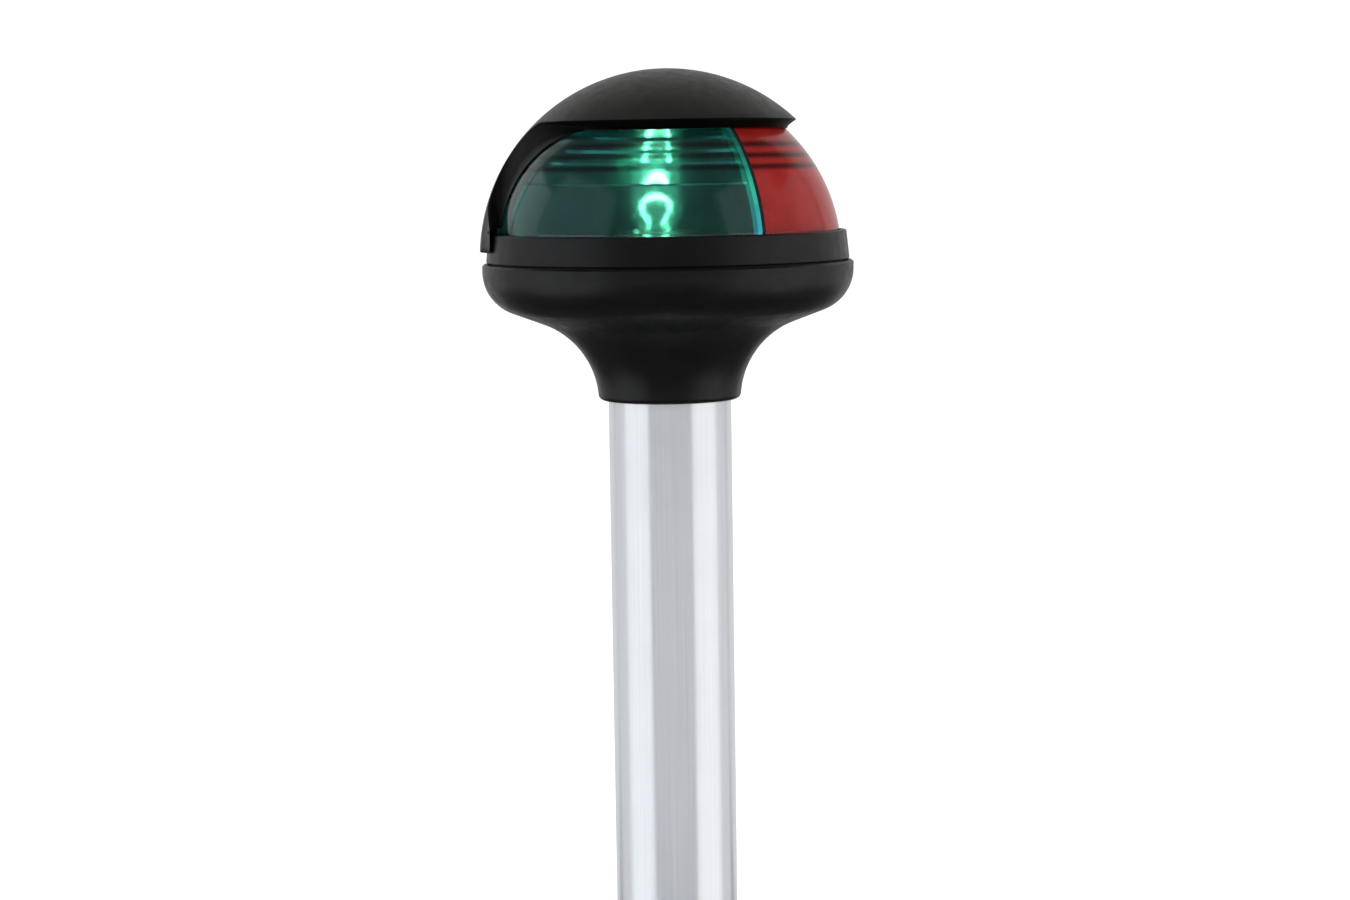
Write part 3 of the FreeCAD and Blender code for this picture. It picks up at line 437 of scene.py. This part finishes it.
# ---- material helpers --------------------------------------------------------------------------
class Shader:
    """A node material with a Principled shader, and short ways to add textures to it."""

    def __init__(self, name, colour, roughness, metallic=0.0):
        self.material = bpy.data.materials.new(name)
        self.material.use_nodes = True
        self.tree = self.material.node_tree
        self.principled = self.tree.nodes["Principled BSDF"]
        self.output = self.tree.nodes["Material Output"]
        self.set("Base Color", (*colour, 1))
        self.set("Roughness", roughness)
        self.set("Metallic", metallic)
        self.place = self.add("ShaderNodeTexCoord").outputs["Object"]
        self.axes = self.add("ShaderNodeSeparateXYZ", {"Vector": self.place})

    def set(self, socket, value):
        """The same value over the whole surface."""
        self.principled.inputs[socket].default_value = value

    def add(self, kind, inputs=None, **settings):
        """A node, with its sockets set or linked."""
        node = self.tree.nodes.new(kind)
        for key, value in settings.items():
            setattr(node, key, value)
        for key, value in (inputs or {}).items():
            if isinstance(value, bpy.types.NodeSocket):
                self.tree.links.new(value, node.inputs[key])
            else:
                node.inputs[key].default_value = value
        return node

    def link(self, source, socket):
        self.tree.links.new(source, self.principled.inputs[socket])

    def stretched(self, scale):
        """Object coordinates, scaled by (x, y, z)."""
        node = self.add("ShaderNodeMapping", {"Vector": self.place, "Scale": scale})
        return node.outputs["Vector"]

    def noise(self, size_mm, detail, at=None):
        """Noise with features of about that size, from 0 to 1."""
        return self.add("ShaderNodeTexNoise", {
            "Vector": at or self.place,
            "Scale": 1 / (size_mm * MM),
            "Detail": detail,
            "Roughness": 0.55,
        }).outputs["Fac"]

    def ramp(self, source, low, high, start=0.0, end=1.0):
        """From one colour or grey to another, over a stretch of the source."""
        node = self.add("ShaderNodeValToRGB", {"Fac": source})
        for stop, value, at in zip(node.color_ramp.elements, (low, high), (start, end)):
            stop.position = at
            stop.color = (*value, 1) if isinstance(value, tuple) else (value, value, value, 1)
        return node.outputs["Color"]

    def bump(self, height, depth_mm, under=None):
        """A normal for that height texture, laid over another normal if one is given."""
        inputs = {"Height": height, "Distance": depth_mm * MM, "Strength": 1.0}
        if under:
            inputs["Normal"] = under
        return self.add("ShaderNodeBump", inputs).outputs["Normal"]

    def profile(self, axis, start, end, stops):
        """Grey levels along an object axis: (place in mm, level) pairs between two places in mm."""
        share = self.add("ShaderNodeMapRange", {
            "Value": self.axes.outputs[axis], "From Min": start * MM, "From Max": end * MM})
        ramp = self.add("ShaderNodeValToRGB", {"Fac": share.outputs["Result"]})
        elements = ramp.color_ramp.elements
        while len(elements) > 1:
            elements.remove(elements[-1])
        for i, (at, level) in enumerate(stops):
            position = (at - start) / (end - start)
            element = elements[0] if i == 0 else elements.new(position)
            element.position = position
            element.color = (level, level, level, 1)
        return ramp.outputs["Color"]

    def painted_prism_shade(self):
        """White, with a painted shade line at the foot of each of the lens's upper prisms."""
        neck = NECK_Z / MM
        stops = []
        for foot in PRISM_FEET:
            line = [(-PRISM_FADE, 1), (-PRISM_LINE, PRISM_SHADE), (PRISM_LINE, PRISM_SHADE), (PRISM_FADE, 1)]
            stops += [(neck + foot + away, level) for away, level in line]
        return self.profile("Z", neck + PRISM_BAND[0], neck + PRISM_BAND[1], stops)

    def painted_glow_falloff(self, colour, reach):
        """Painted glow: that colour near the filament's middle, fading to black at that distance."""
        away = self.add("ShaderNodeVectorMath", {0: self.place, 1: (LAMP_X, 0, FILAMENT_HIGH.z - 1 * MM)},
                        operation="DISTANCE")
        share = self.add("ShaderNodeMapRange", {
            "Value": away.outputs["Value"], "From Min": GLOW_CORE, "From Max": reach,
            "To Min": 0.0, "To Max": 1.0}, interpolation_type="SMOOTHSTEP")
        return self.ramp(share.outputs["Result"], colour, (0.0, 0.0, 0.0))

    def clear_to_shadows(self, colour):
        """Lets lamps shine through: shadow rays see a plain tinted film in place of the shader."""
        path = self.add("ShaderNodeLightPath")
        film = self.add("ShaderNodeBsdfTransparent", {"Color": (*colour, 1)})
        mix = self.add("ShaderNodeMixShader", {0: path.outputs["Is Shadow Ray"]})
        self.tree.links.new(self.principled.outputs[0], mix.inputs[1])
        self.tree.links.new(film.outputs[0], mix.inputs[2])
        self.tree.links.new(mix.outputs[0], self.output.inputs["Surface"])


# ---- materials ---------------------------------------------------------------------------------
PRISM_FEET = (47.75, 50.0, 52.2)      # mm above the neck's underside
PRISM_BAND = (43, 57)                 # likewise, the stretch that holds them
# Painted shade lines at the prisms' feet: their half width, blur and darkness.
PRISM_LINE, PRISM_FADE = 0.2, 0.85    # mm from a foot to the end of its dark line, and of its blur
PRISM_SHADE = 0.15
# Painted glow: where the green lens's edge by the screen is given emission in place of the lamp's light.
PAINTED_EDGE_GLOW = ((-1.5, 0), (-1.3, 1), (-0.4, 1))      # (mm to port, level) across the green lens's lit edge
# Painted glow is at full strength within this distance of the filament's middle.
GLOW_CORE = 3 * MM                    # round the filament's middle, at full strength
# Painted shade: faces below these cosines, the cap's bevelled edge and its inside, get a darker colour and
# weaker specular in place of the shade they lie in.
PAINTED_SHADE_FACING = (0.975, 0.992)          # cosines to the dome's radius: below, the cap's edge; above, its dome


def stage_material():
    """Pale paper, very slightly uneven."""
    s = Shader("stage_paper", (0.93, 0.93, 0.93), 0.9)
    s.link(s.ramp(s.noise(180, 2), (0.92, 0.92, 0.92), (0.94, 0.94, 0.94)), "Base Color")
    return s.material


def moulded_black(name, colour, pale, rough):
    """Moulded plastic with a fine spark texture, faint flow marks and a soft sheen."""
    s = Shader(name, colour, rough)
    cloud = s.noise(9, 4)
    s.link(s.ramp(cloud, colour, pale, 0.35, 0.75), "Base Color")
    s.link(s.ramp(s.noise(2.5, 3), rough - 0.05, rough + 0.07, 0.3, 0.7), "Roughness")
    grain = s.bump(s.noise(0.35, 2), 0.012)
    s.link(s.bump(s.noise(12, 1), 0.03, under=grain), "Normal")
    s.set("Specular IOR Level", 0.29)
    return s


def cap_black_with_painted_shade(name):
    """The cap's moulded black, with painted shade: its bevelled edge and its inside get a darker colour and a
    weaker sheen.
    """
    s = moulded_black(name, (0.0080, 0.0078, 0.0050), (0.0115, 0.0112, 0.0078), 0.38)
    out = s.add("ShaderNodeVectorMath", {0: s.place, 1: tuple(DOME)}, operation="SUBTRACT")
    radial = s.add("ShaderNodeVectorMath", {0: out.outputs["Vector"]}, operation="NORMALIZE")
    normal = s.add("ShaderNodeTexCoord").outputs["Normal"]
    facing = s.add("ShaderNodeVectorMath", {0: radial.outputs["Vector"], 1: normal},
                   operation="DOT_PRODUCT").outputs["Value"]
    cloud = s.principled.inputs["Base Color"].links[0].from_socket
    # Painted shade: faces turned away from the dome's radius, the bevelled edge and the inside, are darkened
    # and lose most of their specular.
    share = s.ramp(facing, 0.12, 1.0, *PAINTED_SHADE_FACING)
    shade = s.add("ShaderNodeMix", {"Factor": 1.0, "A": cloud, "B": share},
                  data_type="RGBA", blend_type="MULTIPLY")
    s.link(shade.outputs["Result"], "Base Color")
    s.link(s.ramp(facing, 0.04, 0.32, *PAINTED_SHADE_FACING), "Specular IOR Level")
    return s.material


def anodised(name):
    """Satin anodised tube: fine drawing lines along Z over a slightly uneven finish. The film over the
    metal scatters part of the light."""
    s = Shader(name, (0.74, 0.75, 0.78), 0.24, 0.75)
    lines = s.noise(0.25, 2, at=s.stretched((1, 1, 0.004)))
    cloud = s.noise(14, 3)
    s.link(s.ramp(lines, (0.70, 0.71, 0.745), (0.75, 0.76, 0.79), 0.3, 0.7), "Base Color")
    s.link(s.ramp(cloud, 0.20, 0.27, 0.3, 0.7), "Roughness")
    s.link(s.bump(lines, 0.003), "Normal")
    return s.material


def metal(name, colour, rough):
    """Bare metal with a fine grain and darker patches."""
    s = Shader(name, colour, rough, 1.0)
    grain = s.noise(0.2, 3)
    darker = tuple(0.82 * c for c in colour)
    s.link(s.ramp(s.noise(3, 3), darker, colour, 0.3, 0.65), "Base Color")
    s.link(s.ramp(grain, rough - 0.06, rough + 0.1, 0.3, 0.7), "Roughness")
    s.link(s.bump(grain, 0.006), "Normal")
    return s.material


def soft_polymer(name, colour, rough, pale=1.25):
    """Rubber, vinyl or nylon: a dull colour that wanders a little."""
    s = Shader(name, colour, rough)
    lighter = tuple(min(1, pale * c) for c in colour)
    s.link(s.ramp(s.noise(4, 4), colour, lighter, 0.35, 0.75), "Base Color")
    s.link(s.ramp(s.noise(1.5, 2), rough - 0.06, rough + 0.06, 0.3, 0.7), "Roughness")
    s.link(s.bump(s.noise(0.6, 2), 0.01), "Normal")
    return s.material


def tinted_lens(name, colour, film, clear, rough, sheen):
    """Polycarbonate with a lightly stippled inside: refraction, a little cloudy body colour, and a painted
    shade line at the foot of each prism."""
    s = Shader(name, colour, rough)
    s.set("Transmission Weight", clear)
    s.set("IOR", 1.56)
    s.set("Specular IOR Level", sheen)
    cloud = s.ramp(s.noise(6, 2), colour, tuple(0.8 * c for c in colour), 0.42, 0.75)
    # Painted shade: the dark lines at the prisms' feet are multiplied into the body colour.
    shade = s.add("ShaderNodeMix", {"Factor": 1.0, "A": cloud, "B": s.painted_prism_shade()},
                  data_type="RGBA", blend_type="MULTIPLY")
    s.link(shade.outputs["Result"], "Base Color")
    s.link(s.bump(s.noise(7, 2), 0.012), "Normal")
    s.link(s.ramp(s.noise(1.2, 3), rough, 1.3 * rough, 0.4, 0.8), "Roughness")
    s.clear_to_shadows(film)
    return s


def green_lens(name):
    """Its moulded edge at the bow, next to the screen, has a painted glow: an emission strip standing in for
    the lamp's light in the edge, brightest low down and fading towards the top.
    """
    s = tinted_lens(name, (0.055, 0.44, 0.40), (0.05, 0.55, 0.45), clear=0.97, rough=0.105, sheen=0.18)
    # Painted glow: emission along the edge, its colour fading with height.
    strip = s.profile("Y", -3.0, 0.0, PAINTED_EDGE_GLOW)
    rise = s.add("ShaderNodeMapRange", {
        "Value": s.axes.outputs["Z"], "From Min": RING_TOP, "From Max": CAP_HIGH.z - 14 * MM})
    hue = s.add("ShaderNodeValToRGB", {"Fac": rise.outputs["Result"]})
    low, high = hue.color_ramp.elements
    low.color, high.color = (0.02, 0.22, 0.30, 1), (0.005, 0.04, 0.035, 1)
    between = hue.color_ramp.elements.new(0.45)
    between.color = (0.01, 0.30, 0.20, 1)
    painted_glow = s.add("ShaderNodeMix", {"Factor": 1.0, "A": hue.outputs["Color"], "B": strip},
                 data_type="RGBA", blend_type="MULTIPLY")
    s.link(painted_glow.outputs["Result"], "Emission Color")
    s.set("Emission Strength", 1.0)
    return s.material


def red_lens(name):
    """Cloudier than the green lens."""
    s = tinted_lens(name, (0.40, 0.020, 0.016), (0.75, 0.03, 0.02), clear=0.55, rough=0.15, sheen=0.10)
    return s.material


def clear_glass_with_painted_glow(name, painted_glow):
    """Lamp glass: clear, with a painted glow, emission standing in for the filament's light in the glass,
    strongest beside the filament.
    """
    s = Shader(name, (0.96, 0.98, 0.97), 0.01)
    s.set("Transmission Weight", 1.0)
    s.set("IOR", 1.5)
    s.link(s.ramp(s.noise(3, 2), 0.0, 0.03, 0.4, 0.8), "Roughness")
    s.link(s.painted_glow_falloff((0.80, 1.0, 0.62), 16 * MM), "Emission Color")
    s.set("Emission Strength", painted_glow)
    s.clear_to_shadows((0.95, 0.97, 0.96))
    return s.material


def wire_with_painted_glow(name):
    """Bright wire with a painted glow: emission, strongest near the filament's middle, standing in for the
    filament's light on it.
    """
    s = Shader(name, (0.72, 0.71, 0.68), 0.25, 1.0)
    s.link(s.ramp(s.noise(0.5, 2), 0.2, 0.34, 0.3, 0.7), "Roughness")
    s.link(s.painted_glow_falloff((1.0, 0.72, 0.45), 10 * MM), "Emission Color")
    s.set("Emission Strength", 60.0)
    return s.material


def glowing(name, colour, strength):
    """Hot tungsten, a little uneven along its length."""
    s = Shader(name, (0.9, 0.85, 0.7), 0.5)
    s.link(s.ramp(s.noise(0.8, 1), colour, tuple(0.9 * c for c in colour), 0.3, 0.7), "Emission Color")
    s.set("Emission Strength", strength)
    return s.material


MATERIALS = {
    "anodised_pole": anodised("anodised_pole"),
    "black_housing": moulded_black(
        "black_housing", (0.0020, 0.0019, 0.0019), (0.0034, 0.0032, 0.0032), 0.36).material,
    "black_ring": moulded_black(
        "black_ring", (0.0025, 0.0022, 0.0024), (0.0042, 0.0037, 0.0041), 0.36).material,
    "black_cap": cap_black_with_painted_shade("black_cap"),
    "black_moulding": moulded_black(
        "black_moulding", (0.006, 0.006, 0.006), (0.010, 0.010, 0.010), 0.5).material,
    "collar_moulding": moulded_black(
        "collar_moulding", (0.010, 0.010, 0.010), (0.016, 0.016, 0.016), 0.45).material,
    "green_lens": green_lens("green_lens"),
    "red_lens": red_lens("red_lens"),
    "lamp_glass": clear_glass_with_painted_glow("lamp_glass", 0.08),
    "lamp_wire": wire_with_painted_glow("lamp_wire"),
    "filament": glowing("filament", (1.0, 0.60, 0.42), 800.0),
    "white_moulding": soft_polymer("white_moulding", (0.70, 0.69, 0.64), 0.5, 1.08),
    "contact_brass": metal("contact_brass", (0.80, 0.62, 0.32), 0.28),
    "stainless": metal("stainless", (0.62, 0.62, 0.61), 0.3),
    "seal_rubber": soft_polymer("seal_rubber", (0.03, 0.03, 0.03), 0.75),
    "red_insulation": soft_polymer("red_insulation", (0.50, 0.03, 0.025), 0.4),
    "black_insulation": soft_polymer("black_insulation", (0.02, 0.02, 0.02), 0.4),
}


def dress_cad_nodes():
    """Gives each CAD node its slot's material."""
    for part in frame["record"]["subparts"]:
        mesh = frame["nodes"][part["node"]].data
        mesh.materials.clear()
        mesh.materials.append(MATERIALS[part["material_slot"]])


def add_lights():
    """At each side a tall softbox in two parts, with a dimmer card further back; one card low in front,
    two behind, and a light overhead."""
    add_world(radiance=1.15, in_reflections=0.10)
    for side, turn, low_tint, high_tint in (
            ("left", -68, (0.95, 0.98, 1.0), (0.70, 0.88, 1.0)), ("right", 68, (1.0, 0.98, 0.96), (1, 1, 1))):
        add_softbox(side + "_low", turn, spread=28, low=-38, high=10, radiance=0.84, colour=low_tint)
        add_softbox(side + "_high", turn, spread=28, low=10, high=44, radiance=0.26, colour=high_tint)
        add_softbox(side + "_rear", 1.65 * turn, spread=15, low=-22, high=30, radiance=0.42)
    add_softbox("front_low", 0, spread=36, low=-22, high=0, radiance=0.36)
    add_softbox("rear", 180, spread=50, low=-22, high=35, radiance=0.45)
    add_softbox("rear_high", 180, spread=50, low=35, high=64, radiance=0.32)
    add_top_light(height=0.95, size=0.7, radiance=0.9)


add_camera()
add_stage()
add_lights()
dress_cad_nodes()
make_cap()
make_filament()
make_supports()

bpy.context.scene.view_settings.view_transform = "Standard"
